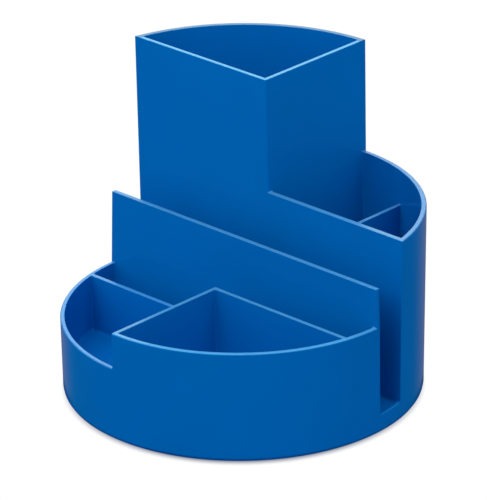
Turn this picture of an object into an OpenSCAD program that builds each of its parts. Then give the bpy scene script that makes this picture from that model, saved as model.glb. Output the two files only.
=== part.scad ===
// Round desk organizer: a low drum crossed by upright walls, with a tall pen tower behind.
// Millimetres. The origin is on the drum's axis at table level, +Z is up, X runs along the
// note slot and +Y points at the pen tower. The walls are regions of one moulding: they
// meet face to face and never overlap.

/* [Drum] */
// Outer diameter of the drum, taken down to table level
drum_d = 138.3; // [125:0.1:155]
// Outward lean of the drum's round wall, in degrees
draft = 0.7; // [0.3:0.1:1.2]
// Thickness of the round wall at the compartment floors
outer_wall = 1.55; // [1.4:0.05:3]
// How far the round wall's faces lean apart going up, in degrees
outer_spread = 0.4; // [0:0.1:0.6]
// Thickness of the ring around and under the floor
skirt_t = 2.2; // [1.8:0.1:3]
// Radius of the rounded edge under the drum
base_edge_r = 2; // [0.5:0.1:3]
// Gap between the table and the rim under the drum
base_gap = 0.8; // [0.3:0.1:1.5]

/* [Floor] */
// Height of the compartment floors above the table
floor_h = 7.7; // [6:0.1:12]
// Thickness of the floor
floor_t = 2.2; // [1.6:0.1:3]
// Height of the kerb at the two mouths of the note slot, above the floor
kerb_h = 1.2; // [0.5:0.1:3]

/* [Wall heights above the table] */
// Rim of the low tray and of the wall behind it
tray_h = 30.8; // [24:0.1:36]
// Rim of the wedge compartment
wedge_h = 45.4; // [38:0.1:50]
// Wall in front of the note slot
slot_front_h = 60.9; // [52:0.1:66]
// Wall that splits the rear compartments
divider_h = 61; // [52:0.1:68]
// Rim of the rear compartments
rear_h = 75.2; // [70:0.1:85]
// Pen tower
tower_h = 121; // [100:0.1:130]

/* [Wall positions] */
// Front face of the tower and of the wall behind the note slot, from the drum's axis
slot_back_y = 14.4; // [10:0.1:20]
// Middle of the wall in front of the note slot
slot_front_y = 0.1; // [-2:0.1:2]
// Middle of the wall in front of the trough
trough_y = -14.95; // [-20:0.05:-10]
// Middle of the wall between the tray and the wedge compartment
wedge_x = 0.2; // [-3:0.1:3]
// Inner face of the tower's side wall
tower_side_x = -1.9; // [-5:0.1:0]
// Middle of the wall that splits the rear compartments
divider_x = 23.4; // [15:0.1:35]

/* [Wall thickness at the top] */
// Flat walls of the pen tower
tower_t = 1.7; // [1.4:0.1:2.4]
// Wall in front of the note slot
slot_front_t = 2; // [1.6:0.1:2.6]
// Walls of the wedge compartment and of the trough
low_wall_t = 1.7; // [1.4:0.1:2.4]
// Wall that splits the rear compartments
divider_t = 1.7; // [1.4:0.1:2.4]
// How far each flat wall's faces lean together going up, in degrees
wall_taper = 0.6; // [0.2:0.1:0.8]
// How far the outer face of the tower's side wall leans in going up, in degrees
tower_side_lean = 0.8; // [0.4:0.1:1]

/* [Slot front wall ends] */
// How far the left end steps in by the top, above the tray's rim
left_end_in = 1.5; // [0.2:0.1:4]
// How far the right end steps in by the top, above the wedge's rim
right_end_in = 0.65; // [0.2:0.05:4]

/* [Feet] */
// Diameter of the rubber pads
pad_d = 11; // [8:0.5:14]
// Thickness of the rubber pads
pad_t = 2; // [1.6:0.1:2.6]
// Diameter of the seats that hold the pads
seat_d = 14; // [13:0.5:18]
// Distance of the pads from the drum's axis
pad_ring_r = 54; // [40:1:56]
// Clearance around a pad in its seat
pad_clearance = 0.1; // [0.05:0.05:0.3]

/* [Colours] */
// Colour of the moulding
shell_colour = [0, 0.36, 0.65];
// Colour of the rubber pads
pad_colour = [0.12, 0.12, 0.13];

/* [Hidden] */
$fn = 180;
reach = drum_d;        // longer than anything it has to cut through
overrun = 1;           // how far a cutting tool runs past the face that it cuts
edge_steps = 8;        // straight steps in the rounded bottom edge
kerb_top = floor_h + kerb_h;
pad_angles = [225, 315, 135, 45];

// Outer and inner radius of the round wall at a height, and inner radius of the ring below it
function outer_r(z) = drum_d / 2 + z * tan(draft);
function inner_r(z) = outer_r(z) - outer_wall - (z - floor_h) * tan(outer_spread);
function skirt_inner_r(z) = outer_r(z) - skirt_t;

// Half thickness of a wall that tapers evenly on both faces
function half_t(top_t, top_h, z) = top_t / 2 + (top_h - z) * tan(wall_taper) / 2;

// Thickness of the flat wall that the tower and the note slot share
function back_wall_t(z) = tower_t + (tower_h - z) * tan(wall_taper);

// Outer face of the tower's side wall, which leans in going up
function tower_side_out(z) = tower_side_x + tower_t + (tower_h - z) * tan(tower_side_lean);

// Left face of the wedge compartment's side wall
function wedge_left(z) = wedge_x - half_t(low_wall_t, wedge_h, z);

// Outlines across a wall, as points of distance and height from the floor up to a top.
// An even wall has thickness top_t at height top_h, and may be cut off lower, at cut_h.
function even_profile(middle, top_t, top_h, cut_h) = [
    [middle - half_t(top_t, top_h, floor_h), floor_h],
    [middle + half_t(top_t, top_h, floor_h), floor_h],
    [middle + half_t(top_t, top_h, cut_h), cut_h],
    [middle - half_t(top_t, top_h, cut_h), cut_h]
];
function back_wall_profile(top_h) = [
    [slot_back_y, floor_h],
    [slot_back_y + back_wall_t(floor_h), floor_h],
    [slot_back_y + back_wall_t(top_h), top_h],
    [slot_back_y, top_h]
];
function tower_side_profile() = [
    [tower_side_x, floor_h],
    [tower_side_out(floor_h), floor_h],
    [tower_side_out(tower_h), tower_h],
    [tower_side_x, tower_h]
];

// Outlines of the space on one side of a face that runs from a foot to a top position
function below_face(foot, top, top_h) = [
    [-reach, floor_h], [foot, floor_h], [top, top_h], [-reach, top_h]
];
function above_face(foot, top, top_h) = [
    [foot, floor_h], [reach, floor_h], [reach, top_h], [top, top_h]
];

// A bar along X with an outline in Y and Z
module along_x(outline) {
    translate([-reach, 0, 0])
        rotate([90, 0, 90])
            linear_extrude(2 * reach)
                polygon(outline);
}

// A bar along Y with an outline in X and Z
module along_y(outline) {
    translate([0, reach, 0])
        rotate([90, 0, 0])
            linear_extrude(2 * reach)
                polygon(outline);
}

// The solid inside the round wall's outer face, and inside its inner face
module outer_core(z0, z1) {
    translate([0, 0, z0])
        cylinder(h = z1 - z0, r1 = outer_r(z0), r2 = outer_r(z1));
}
module inner_core(z0, z1) {
    translate([0, 0, z0])
        cylinder(h = z1 - z0, r1 = inner_r(z0), r2 = inner_r(z1));
}
module round_wall(z0, z1) {
    difference() {
        outer_core(z0, z1);
        inner_core(z0 - overrun, z1 + overrun);
    }
}

// Spaces that the walls divide the drum into
module left_of_tower_side(top_h) {
    along_y(below_face(tower_side_out(floor_h), tower_side_out(top_h), top_h));
}
module right_of_tower_side(top_h) {
    along_y(above_face(tower_side_out(floor_h), tower_side_out(top_h), top_h));
}
module left_of_wedge_side(top_h) {
    along_y(below_face(wedge_left(floor_h), wedge_left(top_h), top_h));
}
module right_of_wedge_side(top_h) {
    along_y(above_face(wedge_left(floor_h), wedge_left(top_h), top_h));
}
module behind_back_wall(top_h) {
    along_x(above_face(
        slot_back_y + back_wall_t(floor_h), slot_back_y + back_wall_t(top_h), top_h));
}
module in_front_of_slot(top_h) {
    along_x(below_face(
        slot_front_y - half_t(slot_front_t, slot_front_h, floor_h),
        slot_front_y - half_t(slot_front_t, slot_front_h, top_h), top_h));
}
module inside_slot(top_h) {
    intersection() {
        along_x(above_face(
            slot_front_y + half_t(slot_front_t, slot_front_h, floor_h),
            slot_front_y + half_t(slot_front_t, slot_front_h, top_h), top_h));
        along_x(below_face(slot_back_y, slot_back_y, top_h));
    }
}
module in_front_of_trough(top_h) {
    along_x(below_face(
        trough_y - half_t(low_wall_t, wedge_h, floor_h),
        trough_y - half_t(low_wall_t, wedge_h, top_h), top_h));
}

// Ring under and around the floor, with its rounded bottom edge
function skirt_outline() = concat(
    [for (i = [0 : edge_steps])
        let (a = 90 * i / edge_steps)
            [outer_r(base_gap + base_edge_r) - base_edge_r * (1 - sin(a)),
             base_gap + base_edge_r * (1 - cos(a))]],
    [[outer_r(floor_h), floor_h], [skirt_inner_r(floor_h), floor_h],
     [skirt_inner_r(base_gap), base_gap]]
);
module base_skirt() {
    color(shell_colour)
        rotate_extrude()
            polygon(skirt_outline());
}

// Low kerbs at the two mouths of the note slot
module slot_kerbs() {
    color(shell_colour)
        intersection() {
            round_wall(floor_h, kerb_top);
            inside_slot(kerb_top);
        }
}

// Round floor of all the compartments
module floor_plate() {
    color(shell_colour)
        translate([0, 0, floor_h - floor_t])
            cylinder(h = floor_t, r1 = skirt_inner_r(floor_h - floor_t),
                r2 = skirt_inner_r(floor_h));
}

// One short post under the floor, with the shallow seat that holds a pad
module foot_seat() {
    difference() {
        translate([0, 0, base_gap])
            cylinder(h = floor_h - floor_t - base_gap, d = seat_d);
        cylinder(h = pad_t, d = pad_d + 2 * pad_clearance);
    }
}
module foot_seats() {
    color(shell_colour)
        for (a = pad_angles)
            rotate(a)
                translate([pad_ring_r, 0, 0])
                    rotate(-a)
                        foot_seat();
}

// Quarter of the drum around the low tray
module tray_outer_wall() {
    color(shell_colour)
        intersection() {
            round_wall(floor_h, tray_h);
            left_of_wedge_side(tray_h);
            in_front_of_slot(tray_h);
        }
}

// Quarter of the drum around the wedge compartment
module wedge_outer_wall() {
    color(shell_colour)
        intersection() {
            round_wall(floor_h, wedge_h);
            right_of_wedge_side(wedge_h);
            in_front_of_slot(wedge_h);
        }
}

// Quarter of the drum around the rear compartments
module rear_outer_wall() {
    color(shell_colour)
        intersection() {
            round_wall(floor_h, rear_h);
            right_of_tower_side(rear_h);
            behind_back_wall(rear_h);
        }
}

// Curved wall of the pen tower
module tower_outer_wall() {
    color(shell_colour)
        intersection() {
            round_wall(floor_h, tower_h);
            left_of_tower_side(tower_h);
            behind_back_wall(tower_h);
        }
}

// Flat front of the pen tower, which runs out to the drum's outer face
module tower_front_wall() {
    color(shell_colour)
        intersection() {
            along_x(back_wall_profile(tower_h));
            left_of_tower_side(tower_h);
            outer_core(floor_h, tower_h);
        }
}

// Flat side of the pen tower
module tower_side_wall() {
    color(shell_colour)
        intersection() {
            along_y(tower_side_profile());
            behind_back_wall(tower_h);
            inner_core(floor_h, tower_h);
        }
}

// Wall behind the right half of the note slot
module slot_back_wall() {
    color(shell_colour)
        intersection() {
            along_x(back_wall_profile(rear_h));
            right_of_tower_side(rear_h);
            outer_core(floor_h, rear_h);
        }
}

// Full-width wall in front of the note slot: its ends are flush with the drum up to the
// rims and step in above them
module slot_front_wall() {
    top_r = outer_r(slot_front_h);
    face = [
        [-reach, floor_h], [reach, floor_h], [reach, wedge_h],
        [outer_r(wedge_h), wedge_h], [top_r - right_end_in, slot_front_h],
        [left_end_in - top_r, slot_front_h], [-outer_r(tray_h), tray_h], [-reach, tray_h]
    ];
    color(shell_colour)
        intersection() {
            along_x(even_profile(slot_front_y, slot_front_t, slot_front_h, slot_front_h));
            along_y(face);
            outer_core(floor_h, slot_front_h);
        }
}

// Low wall between the tray and the trough
module tray_back_wall() {
    color(shell_colour)
        intersection() {
            along_x(even_profile(trough_y, low_wall_t, wedge_h, tray_h));
            left_of_wedge_side(tray_h);
            inner_core(floor_h, tray_h);
        }
}

// Wall between the wedge compartment and the trough
module wedge_back_wall() {
    color(shell_colour)
        intersection() {
            along_x(even_profile(trough_y, low_wall_t, wedge_h, wedge_h));
            right_of_wedge_side(wedge_h);
            inner_core(floor_h, wedge_h);
        }
}

// Wall between the tray and the wedge compartment
module wedge_side_wall() {
    color(shell_colour)
        intersection() {
            along_y(even_profile(wedge_x, low_wall_t, wedge_h, wedge_h));
            in_front_of_trough(wedge_h);
            inner_core(floor_h, wedge_h);
        }
}

// Wall that splits the rear compartments
module rear_divider() {
    color(shell_colour)
        intersection() {
            along_y(even_profile(divider_x, divider_t, divider_h, divider_h));
            behind_back_wall(divider_h);
            inner_core(floor_h, divider_h);
        }
}

// Rubber pad: one of four that the organizer stands on
module foot_pad(corner) {
    color(pad_colour)
        rotate(pad_angles[corner])
            translate([pad_ring_r, 0, 0])
                cylinder(h = pad_t, d = pad_d);
}

base_skirt();
floor_plate();
foot_seats();
slot_kerbs();
tray_outer_wall();
wedge_outer_wall();
rear_outer_wall();
tower_outer_wall();
tower_front_wall();
tower_side_wall();
slot_back_wall();
slot_front_wall();
tray_back_wall();
wedge_back_wall();
wedge_side_wall();
rear_divider();
foot_pad(0);  // front_left_foot
foot_pad(1);  // front_right_foot
foot_pad(2);  // rear_left_foot
foot_pad(3);  // rear_right_foot
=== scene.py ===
"""Round desk organizer: the looks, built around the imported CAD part. Metres, +Z up.

The organizer is one injection moulding on four rubber pads. The CAD gives the moulding as
separate walls. Here one seamless shell stands for them, with rounded rims and the small
fillets that a moulding has where its walls meet each other and the floor.
"""
import math

import bmesh
import bpy
from mathutils import Matrix, Vector


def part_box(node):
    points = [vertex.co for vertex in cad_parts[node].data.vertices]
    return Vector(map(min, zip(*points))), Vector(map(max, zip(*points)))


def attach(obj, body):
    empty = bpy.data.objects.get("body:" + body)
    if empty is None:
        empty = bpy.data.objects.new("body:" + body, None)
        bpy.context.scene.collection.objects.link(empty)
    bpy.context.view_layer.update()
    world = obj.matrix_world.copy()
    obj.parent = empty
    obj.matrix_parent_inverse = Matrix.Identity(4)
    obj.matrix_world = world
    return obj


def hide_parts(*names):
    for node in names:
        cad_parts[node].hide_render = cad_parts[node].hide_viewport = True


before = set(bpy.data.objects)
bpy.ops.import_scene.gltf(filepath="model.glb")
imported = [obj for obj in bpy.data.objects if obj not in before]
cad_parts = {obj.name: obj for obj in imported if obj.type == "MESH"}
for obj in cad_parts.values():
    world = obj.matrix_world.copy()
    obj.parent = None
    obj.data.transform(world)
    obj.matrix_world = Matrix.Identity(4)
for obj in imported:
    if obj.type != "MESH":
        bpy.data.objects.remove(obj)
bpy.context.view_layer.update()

MM = 0.001
PAD_NODES = {
    "front_left_pad": "front_left_foot", "front_right_pad": "front_right_foot",
    "rear_left_pad": "rear_left_foot", "rear_right_pad": "rear_right_foot",
}
SHELL_NODES = [
    "base_skirt", "floor_plate", "slot_kerbs",
    "tray_outer_wall", "wedge_outer_wall", "rear_outer_wall", "tower_outer_wall",
    "tower_front_wall", "tower_side_wall", "slot_back_wall", "slot_front_wall",
    "tray_back_wall", "wedge_back_wall", "wedge_side_wall", "rear_divider",
]

# Rounding of the moulding's edges
RIM_RADIUS = 0.25 * MM          # rims of the walls
OUTER_RIM_RADIUS = 0.6 * MM     # rims of the walls, along the drum's outside
DRUM_CORNER_RADIUS = 0.25 * MM  # upright corners on the drum's outside
WALL_END_RADIUS = 0.6 * MM      # right end of the slot's front wall, above the wedge's rim
MOUTH_RADIUS = 0.9 * MM         # the same end below that rim, at the slot's mouth
FREE_CORNER_RADIUS = 0.7 * MM   # upright corners where flat walls meet
INNER_RADIUS = 0.6 * MM         # upright inner corners
FLOOR_RADIUS = 1.1 * MM         # fillet between walls and floor
STEP_RADIUS = 0.3 * MM          # where a low rim runs into a taller wall
BOTTOM_RADIUS = 2.0 * MM        # rounded edge under the drum, the largest of them all
EDGE_STEPS = 4                  # faces across each rounded edge
FLAT_FACE_WEIGHT = 80           # how strongly the large faces set the shading beside them

# Pads, and the posts that hold them
PAD_RADIUS = 0.35 * MM          # edges of the rubber pads
POST_RADIUS = 0.3 * MM          # edges of the posts
POST_FILLET = 0.7 * MM          # where a post meets the floor's underside
POST_ROOT = 0.5 * MM            # how far a post's top is buried in the floor

# How finely curves are drawn, and how closely places are compared
ARC_STEP = math.radians(2)      # longest stretch of round wall that one flat face covers
LATHE_STEPS = 96                # faces round a turned piece
FLAT_ANGLE = math.radians(20)   # edges that turn less than this belong to a smooth surface
SLICE_DEPTH = 0.05 * MM         # points this close to a height are taken as at it
SAME_HEIGHT = 0.01 * MM         # heights closer than this are the same
SAME_POINT = 0.001 * MM         # points of an outline closer than this are the same
BESIDE = 0.5 * MM               # places this close to a wall's face are taken as along it

AXIS = Vector((0, 0))           # the drum's upright axis, seen from above


# ---------------------------------------------------------------- sizes from the frame

def slice_points(node, height):
    """A CAD node's points at one height."""
    return [v.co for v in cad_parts[node].data.vertices
            if abs(v.co.z - height) < SLICE_DEPTH]


def slice_span(node, axis, height):
    """Lowest and highest coordinate on one axis of a CAD node's points at one height."""
    values = [point[axis] for point in slice_points(node, height)]
    return min(values), max(values)


def slice_radius(node, height, pick, centre=AXIS):
    """Smallest or largest distance from an upright axis of a CAD node's points at a height."""
    return pick((point.xy - centre).length for point in slice_points(node, height))


def line_between(z0, value0, z1, value1):
    """A coordinate that changes evenly with height."""
    return lambda z: value0 + (value1 - value0) * (z - z0) / (z1 - z0)


def wall_faces(node, axis):
    """The two faces of a flat wall, each as a function of height."""
    low, high = (corner.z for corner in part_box(node))
    foot, top = slice_span(node, axis, low), slice_span(node, axis, high)
    return (line_between(low, foot[0], high, top[0]),
            line_between(low, foot[1], high, top[1]))


X, Y = 0, 1
base_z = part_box("base_skirt")[0].z
underside_z, floor_z = (corner.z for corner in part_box("floor_plate"))
kerb_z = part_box("slot_kerbs")[1].z
tray_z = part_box("tray_outer_wall")[1].z
wedge_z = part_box("wedge_outer_wall")[1].z
slot_front_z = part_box("slot_front_wall")[1].z
divider_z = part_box("rear_divider")[1].z
rear_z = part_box("rear_outer_wall")[1].z
tower_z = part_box("tower_outer_wall")[1].z

outer_radius = line_between(
    floor_z, slice_radius("tower_outer_wall", floor_z, max),
    tower_z, slice_radius("tower_outer_wall", tower_z, max))
inner_radius = line_between(
    floor_z, slice_radius("tower_outer_wall", floor_z, min),
    tower_z, slice_radius("tower_outer_wall", tower_z, min))
skirt_radius = line_between(
    base_z, slice_radius("base_skirt", base_z, min),
    underside_z, slice_radius("floor_plate", underside_z, max))
trough_front, trough_back = wall_faces("wedge_back_wall", Y)
slot_wall_front, slot_wall_back = wall_faces("slot_front_wall", Y)
back_wall_front, back_wall_rear = wall_faces("tower_front_wall", Y)
wedge_left, wedge_right = wall_faces("wedge_side_wall", X)
tower_side_in, tower_side_out = wall_faces("tower_side_wall", X)
divider_left, divider_right = wall_faces("rear_divider", X)
slot_wall_ends = slice_span("slot_front_wall", X, slot_front_z)


# ---------------------------------------------------------------- the moulded shell

def on_circle_at_y(radius, y, side):
    """Where a round wall meets a plane of constant Y, on the left (-1) or right (+1)."""
    return lambda z: (side * math.sqrt(radius(z) ** 2 - y(z) ** 2), y(z))


def on_circle_at_x(radius, x, side):
    """Where a round wall meets a plane of constant X, at the front (-1) or back (+1)."""
    return lambda z: (x(z), side * math.sqrt(radius(z) ** 2 - x(z) ** 2))


def across(x, y):
    """Where two flat walls' faces cross."""
    return lambda z: (x(z), y(z))


def radial(radius, point):
    """The point of a round wall on the same ray from the axis as another point."""
    def place(z):
        px, py = point(z)
        scale = radius(z) / math.hypot(px, py)
        return px * scale, py * scale
    return place


def angle_and_turn(start, end, z):
    """The angle of one point round the axis, and the anticlockwise turn to another."""
    a = math.atan2(*reversed(start(z)))
    b = math.atan2(*reversed(end(z)))
    return a, (b - a) % math.tau


def arc_between(radius, start, end, share):
    """A point part of the way round a round wall, from one point to another."""
    def place(z):
        a, turn = angle_and_turn(start, end, z)
        angle = a + turn * share
        return radius(z) * math.cos(angle), radius(z) * math.sin(angle)
    return place


def step_in(point, rim_z, top_z, top_x):
    """An end of the slot's front wall: flush with the drum up to a rim, then leaning in."""
    def place(z):
        px, py = point(z)
        if z > rim_z:
            start = point(rim_z)[0]
            px = start + (top_x - start) * (z - rim_z) / (top_z - rim_z)
        return px, py
    return place


class Plan:
    """The organizer seen from above: flat regions, each with its own height.

    Every corner of the plan is a function of height, because the walls lean a little.
    """

    def __init__(self):
        self.corners = {}
        self.levels = {}
        self.regions = []

    def corner(self, name, place, extra_levels=()):
        self.corners[name] = place
        self.levels[name] = set(extra_levels)

    def region(self, names, height):
        """A region, with its corners anticlockwise as seen from above."""
        self.regions.append((list(names), height))
        for name in names:
            self.levels[name].add(height)


def ring_stations():
    """Junctions round the drum, anticlockwise from the slot's right mouth.

    Each is (name, inner point, outer point, height of the round wall after it). An outer
    point is on the same flat plane as its inner one, or with on_ray on the same ray from
    the axis.
    """
    def at_y(y, side):
        return on_circle_at_y(inner_radius, y, side), on_circle_at_y(outer_radius, y, side)

    def at_x(x, side):
        return on_circle_at_x(inner_radius, x, side), on_circle_at_x(outer_radius, x, side)

    def on_ray(points):
        inner = points[0]
        return inner, radial(outer_radius, inner)

    return [
        ("slot_right_front", *at_y(slot_wall_back, 1), kerb_z),
        ("slot_right_back", *at_y(back_wall_front, 1), rear_z),
        ("rear_right", *at_y(back_wall_rear, 1), rear_z),
        ("divider_right", *on_ray(at_x(divider_right, 1)), rear_z),
        ("divider_left", *on_ray(at_x(divider_left, 1)), rear_z),
        ("tower_side_out", *at_x(tower_side_out, 1), tower_z),
        ("tower_side_in", *on_ray(at_x(tower_side_in, 1)), tower_z),
        ("tower_left_rear", *at_y(back_wall_rear, -1), tower_z),
        ("tower_left_front", *at_y(back_wall_front, -1), kerb_z),
        ("slot_left_front", *at_y(slot_wall_back, -1), slot_front_z),
        ("slot_wall_left", *at_y(slot_wall_front, -1), tray_z),
        ("trough_left_back", *on_ray(at_y(trough_back, -1)), tray_z),
        ("trough_left_front", *on_ray(at_y(trough_front, -1)), tray_z),
        ("wedge_left", *at_x(wedge_left, -1), wedge_z),
        ("wedge_right", *on_ray(at_x(wedge_right, -1)), wedge_z),
        ("trough_right_front", *on_ray(at_y(trough_front, 1)), wedge_z),
        ("trough_right_back", *on_ray(at_y(trough_back, 1)), wedge_z),
        ("slot_wall_right", *at_y(slot_wall_front, 1), slot_front_z),
    ]


def lean_in_ends(name, outer):
    """A junction's outer point, and the heights where its lean changes.

    Only the slot front wall's four outer corners change, at the rims beside them.
    """
    if name in ("slot_left_front", "slot_wall_left"):
        return step_in(outer, tray_z, slot_front_z, slot_wall_ends[0]), [tray_z]
    if name in ("slot_right_front", "slot_wall_right"):
        return step_in(outer, wedge_z, slot_front_z, slot_wall_ends[1]), [wedge_z]
    return outer, []


def make_plan():
    """The plan, and the names of the stations round the ring in order."""
    plan = Plan()
    junctions = ring_stations()
    order = []
    for k, (name, inner, outer, height) in enumerate(junctions):
        _, next_inner, next_outer, _ = junctions[(k + 1) % len(junctions)]
        at_wall_end = height == slot_front_z
        _, turn = angle_and_turn(inner, next_inner, floor_z)
        count = 1 if at_wall_end else max(1, math.ceil(turn / ARC_STEP))
        leaning_outer, extra_levels = lean_in_ends(name, outer)
        plan.corner("i:" + name, inner)
        plan.corner("o:" + name, leaning_outer, [base_z, *extra_levels])
        order.append((name, height))
        for i in range(1, count):
            station, share = f"{name}+{i}", i / count
            plan.corner("i:" + station, arc_between(inner_radius, inner, next_inner, share))
            plan.corner("o:" + station, arc_between(outer_radius, outer, next_outer, share),
                        [base_z])
            order.append((station, height))
    for name, x, y in [
        ("tower_corner_front", tower_side_out, back_wall_front),
        ("tower_corner_rear", tower_side_out, back_wall_rear),
        ("tower_inner_corner", tower_side_in, back_wall_rear),
        ("divider_foot_left", divider_left, back_wall_rear),
        ("divider_foot_right", divider_right, back_wall_rear),
        ("wedge_corner", wedge_left, trough_front),
        ("wedge_inner_corner", wedge_right, trough_front),
        ("wedge_apex", wedge_left, trough_back),
    ]:
        plan.corner(name, across(x, y))
    add_regions(plan, order)
    return plan, [station for station, _ in order]


def add_regions(plan, order):
    """Every flat region: the round wall's rims, the flat walls' rims and the floors."""
    names = [station for station, _ in order]
    count = len(names)

    def arc(first, last):
        """The inner corners from one station round to another, both included."""
        k, end, found = names.index(first), names.index(last), []
        while True:
            found.append("i:" + names[k])
            if k == end:
                return found
            k = (k + 1) % count

    for k, (station, height) in enumerate(order):
        following = names[(k + 1) % count]
        plan.region(["o:" + station, "o:" + following, "i:" + following, "i:" + station], height)

    # tops of the flat walls
    plan.region(["tower_corner_front", "tower_corner_rear", "tower_inner_corner"]
                + arc("tower_left_rear", "tower_left_front"), tower_z)
    plan.region(["tower_corner_front"] + arc("slot_right_back", "rear_right")
                + ["divider_foot_right", "divider_foot_left", "tower_corner_rear"], rear_z)
    plan.region(["tower_inner_corner", "tower_corner_rear"]
                + arc("tower_side_out", "tower_side_in"), tower_z)
    plan.region(["divider_foot_left", "divider_foot_right"]
                + arc("divider_right", "divider_left"), divider_z)
    plan.region(arc("slot_left_front", "slot_wall_left")
                + arc("slot_wall_right", "slot_right_front"), slot_front_z)
    plan.region(arc("trough_left_back", "trough_left_front")
                + ["wedge_corner", "wedge_apex"], tray_z)
    plan.region(["wedge_corner", "wedge_inner_corner"]
                + arc("trough_right_front", "trough_right_back") + ["wedge_apex"], wedge_z)
    plan.region(arc("wedge_left", "wedge_right")
                + ["wedge_inner_corner", "wedge_corner"], wedge_z)

    # floors of the compartments
    plan.region(["tower_inner_corner"] + arc("tower_side_in", "tower_left_rear"), floor_z)
    plan.region(["tower_corner_rear", "divider_foot_left"]
                + arc("divider_left", "tower_side_out"), floor_z)
    plan.region(["divider_foot_right"] + arc("rear_right", "divider_right"), floor_z)
    plan.region(arc("slot_right_front", "slot_right_back") + ["tower_corner_front"]
                + arc("tower_left_front", "slot_left_front"), floor_z)
    plan.region(arc("slot_wall_left", "trough_left_back") + ["wedge_apex"]
                + arc("trough_right_back", "slot_wall_right"), floor_z)
    plan.region(arc("trough_left_front", "wedge_left") + ["wedge_corner"], floor_z)
    plan.region(arc("wedge_right", "trough_right_front") + ["wedge_inner_corner"], floor_z)


def add_upright_faces(mesh, plan, point):
    """Walls between neighbouring regions of different height, and round the outside."""
    heights = {}
    for names, height in plan.regions:
        for a, b in zip(names, names[1:] + names[:1]):
            heights[a, b] = height
    for (a, b), top in heights.items():
        bottom = heights.get((b, a), base_z)
        if top <= bottom:
            continue
        levels_a = sorted(z for z in plan.levels[a] if bottom <= z <= top)
        levels_b = sorted(z for z in plan.levels[b] if bottom <= z <= top)
        shared = sorted(set(levels_a) & set(levels_b))
        for low, high in zip(shared, shared[1:]):
            between_b = [point(b, z) for z in levels_b if low < z < high]
            between_a = [point(a, z) for z in reversed(levels_a) if low < z < high]
            mesh.faces.new([point(a, low), point(b, low), *between_b,
                            point(b, high), point(a, high), *between_a])


def add_underside(mesh, plan, stations, point):
    """The rim that the drum ends in, the hollow inside it and the floor's lower face."""
    for station in stations:
        plan.corner("u:" + station, radial(skirt_radius, plan.corners["i:" + station]))
    for here, following in zip(stations, stations[1:] + stations[:1]):
        rim = [point("o:" + here, base_z), point("u:" + here, base_z),
               point("u:" + following, base_z), point("o:" + following, base_z)]
        mesh.faces.new(rim)
        mesh.faces.new([point("u:" + following, base_z), point("u:" + here, base_z),
                        point("u:" + here, underside_z), point("u:" + following, underside_z)])
    mesh.faces.new([point("u:" + station, underside_z) for station in reversed(stations)])


def same_height(a, b):
    return abs(a - b) < SAME_HEIGHT


def along_outside(place):
    """Whether a point lies on the drum's outside."""
    return place.xy.length > outer_radius(place.z) - BESIDE


def edge_radius(edge):
    """How strongly an edge of the moulding is rounded, in metres."""
    if len(edge.link_faces) != 2 or edge.calc_face_angle() < FLAT_ANGLE:
        return 0.0
    a, b = (v.co for v in edge.verts)
    middle = (a + b) / 2
    if same_height(a.z, b.z):
        return level_edge_radius(middle, edge.is_convex)
    return upright_edge_radius(middle, edge.is_convex)


def level_edge_radius(middle, convex):
    if same_height(middle.z, base_z):
        return BOTTOM_RADIUS if along_outside(middle) else RIM_RADIUS
    if same_height(middle.z, floor_z) or same_height(middle.z, underside_z):
        return FLOOR_RADIUS
    if convex:
        return OUTER_RIM_RADIUS if along_outside(middle) else RIM_RADIUS
    return STEP_RADIUS


def upright_edge_radius(middle, convex):
    if not convex:
        return INNER_RADIUS
    if middle.xy.length < inner_radius(middle.z):
        return FREE_CORNER_RADIUS
    at_wall_end = middle.x > 0 and abs(middle.y) < slot_wall_back(middle.z) + BESIDE
    if not at_wall_end:
        return DRUM_CORNER_RADIUS
    return WALL_END_RADIUS if middle.z > wedge_z else MOUTH_RADIUS


def build_shell():
    """The moulding in one skin, with a bevel weight on each edge that is to be rounded."""
    plan, stations = make_plan()
    mesh = bmesh.new()
    made = {}

    def point(name, z):
        if (name, z) not in made:
            made[name, z] = mesh.verts.new((*plan.corners[name](z), z))
        return made[name, z]

    for names, height in plan.regions:
        mesh.faces.new([point(name, height) for name in names])
    add_upright_faces(mesh, plan, point)
    add_underside(mesh, plan, stations, point)
    mesh.normal_update()

    weights = mesh.edges.layers.float.new("bevel_weight_edge")
    for edge in mesh.edges:
        edge[weights] = edge_radius(edge) / BOTTOM_RADIUS
    for face in mesh.faces:
        face.smooth = True
    return finish_mesh("moulded_shell", mesh)


# ---------------------------------------------------------------- making objects

def finish_mesh(name, mesh):
    """An object in the scene, from a mesh under construction."""
    data = bpy.data.meshes.new(name)
    mesh.to_mesh(data)
    mesh.free()
    piece = bpy.data.objects.new(name, data)
    bpy.context.scene.collection.objects.link(piece)
    return piece


def round_edges(piece):
    """Rounds a piece's edges by their weights, and keeps its flat faces looking flat."""
    bevel = piece.modifiers.new("rounded_edges", "BEVEL")
    bevel.width = BOTTOM_RADIUS
    bevel.segments = EDGE_STEPS
    bevel.limit_method = "WEIGHT"
    bevel.use_clamp_overlap = False
    bevel.miter_outer = "MITER_SHARP"
    normals = piece.modifiers.new("flat_faces", "WEIGHTED_NORMAL")
    normals.mode = "FACE_AREA"
    normals.weight = FLAT_FACE_WEIGHT
    normals.keep_sharp = True


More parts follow.
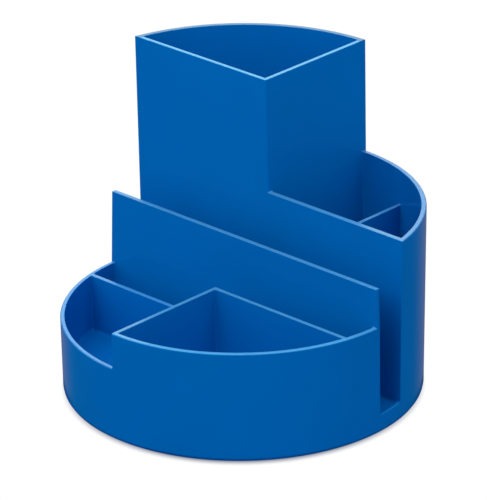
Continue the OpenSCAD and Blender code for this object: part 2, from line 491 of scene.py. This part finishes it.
def lathe(name, outline, centre):
    """A turned piece: outline is points of radius and height, anticlockwise round its section.

    A point on the axis becomes a ring of one corner, and the faces beside it triangles.
    """
    mesh = bmesh.new()
    rings = []
    for radius, z in outline:
        angles = [math.tau * k / LATHE_STEPS for k in range(LATHE_STEPS if radius > 0 else 1)]
        rings.append([mesh.verts.new((centre.x + radius * math.cos(angle),
                                      centre.y + radius * math.sin(angle), z))
                      for angle in angles])
    for lower, upper in zip(rings, rings[1:]):
        for k in range(LATHE_STEPS):
            n = (k + 1) % LATHE_STEPS
            corners = [lower[k % len(lower)], lower[n % len(lower)],
                       upper[n % len(upper)], upper[k % len(upper)]]
            mesh.faces.new(dict.fromkeys(corners))
    for face in mesh.faces:
        face.smooth = True
    return finish_mesh(name, mesh)


def rounded(outline_corners):
    """An outline with some corners rounded, from corners of (radius, height, rounding)."""
    points = []
    count = len(outline_corners)
    for k, (x, z, rounding) in enumerate(outline_corners):
        corner = Vector((x, z))
        before = (Vector(outline_corners[k - 1][:2]) - corner).normalized()
        after = (Vector(outline_corners[(k + 1) % count][:2]) - corner).normalized()
        for i in range(EDGE_STEPS + 1 if rounding else 1):
            t = i / EDGE_STEPS * math.pi / 2
            offset = before * (1 - math.sin(t)) + after * (1 - math.cos(t))
            point = corner + offset * rounding
            if not points or (point - points[-1]).length > SAME_POINT:
                points.append(point)
    return points


def build_pad(name, node):
    """A flat rubber disc with softened edges."""
    low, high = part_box(node)
    centre, radius = ((low + high) / 2).xy, (high.x - low.x) / 2
    return lathe(name, rounded([
        (0, low.z, 0), (radius, low.z, PAD_RADIUS), (radius, high.z, PAD_RADIUS),
        (0, high.z, 0)]), centre)


def build_posts():
    """The four short posts under the floor, each with a shallow seat for a pad."""
    posts = []
    root_z = underside_z + POST_ROOT
    for node in PAD_NODES.values():
        low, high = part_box(node)
        centre = ((low + high) / 2).xy
        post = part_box("foot_seats")[1].x - abs(centre.x)
        seat = slice_radius("foot_seats", base_z, min, centre)
        fillet = post + POST_FILLET
        posts.append(lathe("post", rounded([
            (0, high.z, 0), (seat, high.z, 0), (seat, base_z, POST_RADIUS),
            (post, base_z, POST_RADIUS), (post, underside_z, POST_FILLET),
            (fillet, underside_z, 0), (fillet, root_z, 0), (0, root_z, 0)]), centre))
    joined = bmesh.new()
    for post in posts:
        joined.from_mesh(post.data)
        bpy.data.objects.remove(post)
    return finish_mesh("foot_posts", joined)


# ---------------------------------------------------------------- materials

# The plastic's colour varies a little between the first two
PLASTIC_LOW = (0.0, 0.135, 0.515)
PLASTIC_HIGH = (0.0, 0.142, 0.55)
GLOSS_TINT = (0.0, 0.6, 1.0, 1)
FLAT_RIM_HIGHLIGHTS = {   # painted highlights, at the heights of the flat walls' rims
    tray_z: (0.04, 0.225, 0.62),
    wedge_z: (0.05, 0.235, 0.57),
    rear_z: (0.045, 0.22, 0.55),
    tower_z: (0.045, 0.31, 0.7),
}
ROUND_RIM_HIGHLIGHTS = {  # painted highlights, at the heights of the round wall's rims
    tray_z: (0.04, 0.225, 0.62),
    wedge_z: (0.055, 0.275, 0.65),
    rear_z: (0.05, 0.21, 0.56),
    tower_z: (0.045, 0.165, 0.4),
}
# The rims' painted highlight starts at the first of each pair, and is full from the second
RIM_HIGHLIGHT_FACING = (0.3, 0.9)  # upward part of the surface's normal
RIM_HIGHLIGHT_HEIGHTS = (kerb_z + 1 * MM, tray_z - 1 * MM)
RUBBER_DARK = (0.008, 0.008, 0.009)
RUBBER_PALE = (0.02, 0.02, 0.021)


def material(name):
    """A new material, its nodes, its links and its shader."""
    made = bpy.data.materials.new(name)
    made.use_nodes = True
    nodes = made.node_tree.nodes
    return made, nodes, made.node_tree.links, nodes["Principled BSDF"]


def matt_black(name):
    """A material that reflects nothing."""
    made, nodes, links, shader = material(name)
    shader.inputs["Base Color"].default_value = (0, 0, 0, 1)
    shader.inputs["Roughness"].default_value = 1.0
    shader.inputs["Specular IOR Level"].default_value = 0.0
    return made, nodes, links, shader


def noise(nodes, links, place, scale, detail):
    """A value from 0 to 1 that varies smoothly from place to place."""
    node = nodes.new("ShaderNodeTexNoise")
    node.inputs["Scale"].default_value = scale
    node.inputs["Detail"].default_value = detail
    links.new(place, node.inputs["Vector"])
    return node.outputs["Fac"]


def spread(nodes, links, source, low, high):
    """Maps a value from 0 to 1 onto a range."""
    node = nodes.new("ShaderNodeMapRange")
    node.inputs["To Min"].default_value = low
    node.inputs["To Max"].default_value = high
    links.new(source, node.inputs["Value"])
    return node.outputs["Result"]


def smooth_share(nodes, links, source, start, full):
    """0 up to one value, 1 from another, and smooth between them."""
    node = nodes.new("ShaderNodeMapRange")
    node.interpolation_type = "SMOOTHSTEP"
    node.inputs["From Min"].default_value = start
    node.inputs["From Max"].default_value = full
    links.new(source, node.inputs["Value"])
    return node.outputs["Result"]


def two_tone(nodes, links, source, low, high, start=0.0, full=1.0):
    """One colour up to a value, another from a second value, and a mix between them."""
    ramp = nodes.new("ShaderNodeValToRGB")
    for stop, position, colour in zip(ramp.color_ramp.elements, (start, full), (low, high)):
        stop.position = position
        stop.color = (*colour, 1)
    links.new(source, ramp.inputs["Fac"])
    return ramp.outputs["Color"]


def blend(nodes, links, share, first, second):
    """Mixes two colours, each given as three numbers or as an output."""
    node = nodes.new("ShaderNodeMix")
    node.data_type = "RGBA"
    sockets = {socket.identifier: socket for socket in [*node.inputs, *node.outputs]}
    links.new(share, sockets["Factor_Float"])
    for name, colour in (("A_Color", first), ("B_Color", second)):
        if isinstance(colour, tuple):
            sockets[name].default_value = (*colour, 1)
        else:
            links.new(colour, sockets[name])
    return sockets["Result_Color"]


def bumps(nodes, links, shader, height, strength, distance):
    """Roughens a surface by a height that varies over it."""
    node = nodes.new("ShaderNodeBump")
    node.inputs["Strength"].default_value = strength
    node.inputs["Distance"].default_value = distance
    links.new(height, node.inputs["Height"])
    links.new(node.outputs["Normal"], shader.inputs["Normal"])


def distance_from_axis(nodes, links, place):
    """How far a point is from the drum's axis, whatever its height."""
    level = nodes.new("ShaderNodeVectorMath")
    level.operation = "MULTIPLY"
    level.inputs[1].default_value = (1, 1, 0)
    links.new(place, level.inputs[0])
    length = nodes.new("ShaderNodeVectorMath")
    length.operation = "LENGTH"
    links.new(level.outputs["Vector"], length.inputs[0])
    return length.outputs["Value"]


def colour_by_height(nodes, links, height, colours):
    """A colour that changes with height, from colours at some heights."""
    levels = sorted(colours)
    place = nodes.new("ShaderNodeMapRange")
    place.inputs["From Min"].default_value = levels[0]
    place.inputs["From Max"].default_value = levels[-1]
    links.new(height, place.inputs["Value"])
    ramp = nodes.new("ShaderNodeValToRGB")
    stops = ramp.color_ramp.elements
    for k, level in enumerate(levels):
        position = (level - levels[0]) / (levels[-1] - levels[0])
        stop = stops[k] if k < len(stops) else stops.new(position)
        stop.position = position
        stop.color = (*colours[level], 1)
    links.new(place.outputs["Result"], ramp.inputs["Fac"])
    return ramp.outputs["Color"]


def rim_highlight_colour(nodes, links, place, height):
    """Painted highlight colour of the walls' rims: by height, and apart for the flat and the
    round walls.
    """
    round_from = inner_radius(tray_z)
    on_round_wall = smooth_share(nodes, links, distance_from_axis(nodes, links, place),
                                 start=round_from - BESIDE, full=round_from)
    return blend(nodes, links, on_round_wall,
                 colour_by_height(nodes, links, height, FLAT_RIM_HIGHLIGHTS),
                 colour_by_height(nodes, links, height, ROUND_RIM_HIGHLIGHTS))


def rim_highlight_share(nodes, links, height):
    """How much painted highlight a point gets: 1 on a wall's rim where it faces up above the
    kerbs, 0 elsewhere.
    """
    normal = nodes.new("ShaderNodeSeparateXYZ")
    links.new(nodes.new("ShaderNodeNewGeometry").outputs["Normal"], normal.inputs["Vector"])
    both = nodes.new("ShaderNodeMath")
    both.operation = "MULTIPLY"
    links.new(smooth_share(nodes, links, normal.outputs["Z"], *RIM_HIGHLIGHT_FACING), both.inputs[0])
    links.new(smooth_share(nodes, links, height, *RIM_HIGHLIGHT_HEIGHTS), both.inputs[1])
    return both.outputs["Value"]


def plastic_material():
    """Glossy blue moulded plastic, with painted highlights on the walls' upward-facing rims."""
    made, nodes, links, shader = material("blue_plastic")
    place = nodes.new("ShaderNodeTexCoord").outputs["Object"]
    split = nodes.new("ShaderNodeSeparateXYZ")
    links.new(place, split.inputs["Vector"])
    height = split.outputs["Z"]

    body = two_tone(nodes, links, noise(nodes, links, place, scale=28, detail=2),
                    PLASTIC_LOW, PLASTIC_HIGH, start=0.3, full=0.7)
    # painted highlights on the walls' upward-facing rims
    links.new(blend(nodes, links, rim_highlight_share(nodes, links, height), body,
                    rim_highlight_colour(nodes, links, place, height)), shader.inputs["Base Color"])

    gloss = noise(nodes, links, place, scale=60, detail=4)
    links.new(spread(nodes, links, gloss, low=0.17, high=0.27), shader.inputs["Roughness"])
    shader.inputs["IOR"].default_value = 1.4
    shader.inputs["Specular Tint"].default_value = GLOSS_TINT
    bumps(nodes, links, shader, noise(nodes, links, place, scale=420, detail=2),
          strength=0.06, distance=0.4 * MM)
    return made


def rubber_material():
    """Matt dark rubber."""
    made, nodes, links, shader = material("rubber")
    place = nodes.new("ShaderNodeTexCoord").outputs["Object"]
    links.new(two_tone(nodes, links, noise(nodes, links, place, scale=900, detail=4),
                       RUBBER_DARK, RUBBER_PALE), shader.inputs["Base Color"])
    wear = noise(nodes, links, place, scale=1500, detail=3)
    links.new(spread(nodes, links, wear, low=0.7, high=0.9), shader.inputs["Roughness"])
    bumps(nodes, links, shader, noise(nodes, links, place, scale=2500, detail=3),
          strength=0.3, distance=0.2 * MM)
    return made


# ---------------------------------------------------------------- the pieces

plastic = plastic_material()
rubber = rubber_material()

shell = build_shell()
round_edges(shell)
shell.data.materials.append(plastic)
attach(shell, "root")
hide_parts(*SHELL_NODES)

posts = build_posts()
posts.data.materials.append(plastic)
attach(posts, "root")
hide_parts("foot_seats")

for pad_name, node in PAD_NODES.items():
    pad = build_pad(pad_name, node)
    pad.data.materials.append(rubber)
    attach(pad, "root")
    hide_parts(node)


# ---------------------------------------------------------------- stage and lights

TABLE_Z = 0.0
FLOOR_REACH = 2.6             # radius of the sheet on the floor, where the backdrop stands
BACKDROP_HEIGHT = 3.0
SHEET_BRIGHT = 1.02           # emission of the open sheet
CONTACT_SHADOW_COLOUR = (0.003, 0.03, 0.14)  # painted shadow colour of the sheet under the object
CONTACT_IN = 5.25 * MM        # how far inside the drum's foot the painted shadow is darkest
CONTACT_OUT = 1.75 * MM       # how far outside it the painted shadow has faded and the sheet is fully bright
SHADE_REACH = 3 * MM          # how far from the object reaches the black disc of painted shade that its gloss mirrors in place of the shaded table

# Surroundings. Each fade starts at its first value, and is full from the second
LOW_COLOUR = (0.012, 0.165, 0.29)    # of the table
BEHIND_COLOUR = (0.23, 0.21, 0.26)   # of the paler table behind the object
HIGH_COLOUR = (0.1, 0.105, 0.12)     # of everything above the table
BEHIND = 224                  # azimuth straight behind the object in the main view
BEHIND_FADE = (0.66, 0.89)    # part of a direction that points that way
HORIZON_FADE = (-0.1, 0.1)    # part of a direction that points up

LIGHT_DISTANCE = 1.6          # of the softboxes, from the organizer's middle
LIGHT_SIZE = 1.2
LIGHT_COLOUR = (1.0, 1.0, 0.86)


def sheet_material():
    """A sheet that glows evenly white, with a soft shadow painted round the drum's foot."""
    made, nodes, links, shader = matt_black("pale_sheet")
    place = nodes.new("ShaderNodeTexCoord").outputs["Object"]
    foot = outer_radius(base_z)
    # painted shadow: dark under the drum's foot, fading to white outside it
    beside = smooth_share(nodes, links, distance_from_axis(nodes, links, place),
                          start=foot - CONTACT_IN, full=foot + CONTACT_OUT)
    links.new(blend(nodes, links, beside, CONTACT_SHADOW_COLOUR, (1.0, 1.0, 1.0)),
              shader.inputs["Emission Color"])
    shader.inputs["Emission Strength"].default_value = SHEET_BRIGHT
    return made


def seen_by(thing, camera, gloss):
    """Shows a piece of the stage to the camera or to gloss only: it lights and shades nothing."""
    thing.visible_camera = camera
    thing.visible_glossy = gloss
    thing.visible_diffuse = False
    thing.visible_shadow = False


def build_stage():
    """A white floor and backdrop, and a black disc of painted shade for the table round the
    object, seen only in the object's gloss.
    """
    pale_sheet = sheet_material()
    for name, outline in (
            ("floor", [(0, TABLE_Z), (FLOOR_REACH, TABLE_Z)]),
            ("backdrop", [(FLOOR_REACH, TABLE_Z), (FLOOR_REACH, BACKDROP_HEIGHT)])):
        part = lathe(name, outline, AXIS)
        part.data.materials.append(pale_sheet)
        seen_by(part, camera=True, gloss=False)
    # painted shade: a black disc for the shaded table, seen only in the object's gloss
    reach = outer_radius(TABLE_Z) + SHADE_REACH
    shade = lathe("table_shade", [(0, TABLE_Z), (reach, TABLE_Z)], AXIS)
    shade.data.materials.append(matt_black("table_shade")[0])
    seen_by(shade, camera=False, gloss=True)


def studio_world():
    """Dim light from below and above, and a paler patch of table behind the object."""
    world = bpy.data.worlds.new("studio")
    world.use_nodes = True
    nodes, links = world.node_tree.nodes, world.node_tree.links
    direction = nodes.new("ShaderNodeTexCoord").outputs["Generated"]
    towards = nodes.new("ShaderNodeVectorMath")
    towards.operation = "DOT_PRODUCT"
    behind = math.radians(BEHIND)
    towards.inputs[1].default_value = (math.sin(behind), -math.cos(behind), 0)
    links.new(direction, towards.inputs[0])
    split = nodes.new("ShaderNodeSeparateXYZ")
    links.new(direction, split.inputs["Vector"])
    back = smooth_share(nodes, links, towards.outputs["Value"], *BEHIND_FADE)
    above = smooth_share(nodes, links, split.outputs["Z"], *HORIZON_FADE)
    table = blend(nodes, links, back, LOW_COLOUR, BEHIND_COLOUR)
    links.new(blend(nodes, links, above, table, HIGH_COLOUR),
              nodes["Background"].inputs["Color"])
    return world


def aim(thing, place, target, roll=0.0):
    """Puts a camera or light at a place, looking at a target."""
    back = (Vector(place) - Vector(target)).normalized()
    right = Vector((0, 0, 1)).cross(back).normalized()
    up = back.cross(right)
    turn = Matrix((right, up, back)).transposed() @ Matrix.Rotation(roll, 3, "Z")
    thing.matrix_world = Matrix.Translation(place) @ turn.to_4x4()


def around(azimuth, elevation, distance, target):
    """A place at a distance from a target; azimuth 0 is in front, elevation is above it."""
    a, e = math.radians(azimuth), math.radians(elevation)
    back = Vector((math.sin(a) * math.cos(e), -math.cos(a) * math.cos(e), math.sin(e)))
    return Vector(target) + back * distance


def soft_light(name, azimuth, elevation, power):
    """A square softbox that faces the organizer."""
    data = bpy.data.lights.new(name, "AREA")
    data.shape = "SQUARE"
    data.size = LIGHT_SIZE
    data.energy = power
    data.color = LIGHT_COLOUR
    light = bpy.data.objects.new(name, data)
    light.visible_camera = False
    bpy.context.scene.collection.objects.link(light)
    middle = Vector((0, 0, tower_z / 2))
    aim(light, around(azimuth, elevation, LIGHT_DISTANCE, middle), middle)


build_stage()
bpy.context.scene.world = studio_world()
bpy.context.scene.view_settings.view_transform = "Standard"
soft_light("key_left", azimuth=-1, elevation=50, power=16.8)
soft_light("key_right", azimuth=89, elevation=50, power=9.3)
soft_light("low_right", azimuth=89, elevation=5, power=5.4)
soft_light("low_left", azimuth=-1, elevation=5, power=2.7)
soft_light("side_left", azimuth=-60, elevation=25, power=7.5)
soft_light("front", azimuth=44, elevation=50, power=1.5)
soft_light("side_right", azimuth=150, elevation=25, power=3.0)
soft_light("top", azimuth=44, elevation=89.9, power=2.1)
soft_light("back_high", azimuth=BEHIND, elevation=50, power=11.2)
soft_light("rim_light", azimuth=BEHIND, elevation=24, power=7.2)


# ---------------------------------------------------------------- camera

CAMERA_AZIMUTH = 43.73          # degrees, from the front towards the right
CAMERA_ELEVATION = 24.19
CAMERA_ROLL = -0.80
CAMERA_DISTANCE = 1.682         # from the target
CAMERA_LENS = 319.5             # millimetres
CAMERA_SENSOR = 36              # millimetres wide
CAMERA_REACH = 20               # how far it sees, well past the backdrop
CAMERA_TARGET_HEIGHT = 0.05604
CAMERA_TARGET_RIGHT = 0.00073   # of the drum's axis, as the camera sees it

camera_data = bpy.data.cameras.new("camera")
camera_data.sensor_width = CAMERA_SENSOR
camera_data.lens = CAMERA_LENS
camera_data.clip_end = CAMERA_REACH
camera = bpy.data.objects.new("camera", camera_data)
bpy.context.scene.collection.objects.link(camera)
sideways = Vector((math.cos(math.radians(CAMERA_AZIMUTH)),
                   math.sin(math.radians(CAMERA_AZIMUTH)), 0))
target = Vector((0, 0, CAMERA_TARGET_HEIGHT)) + sideways * CAMERA_TARGET_RIGHT
aim(camera, around(CAMERA_AZIMUTH, CAMERA_ELEVATION, CAMERA_DISTANCE, target), target,
    math.radians(CAMERA_ROLL))
bpy.context.scene.camera = camera
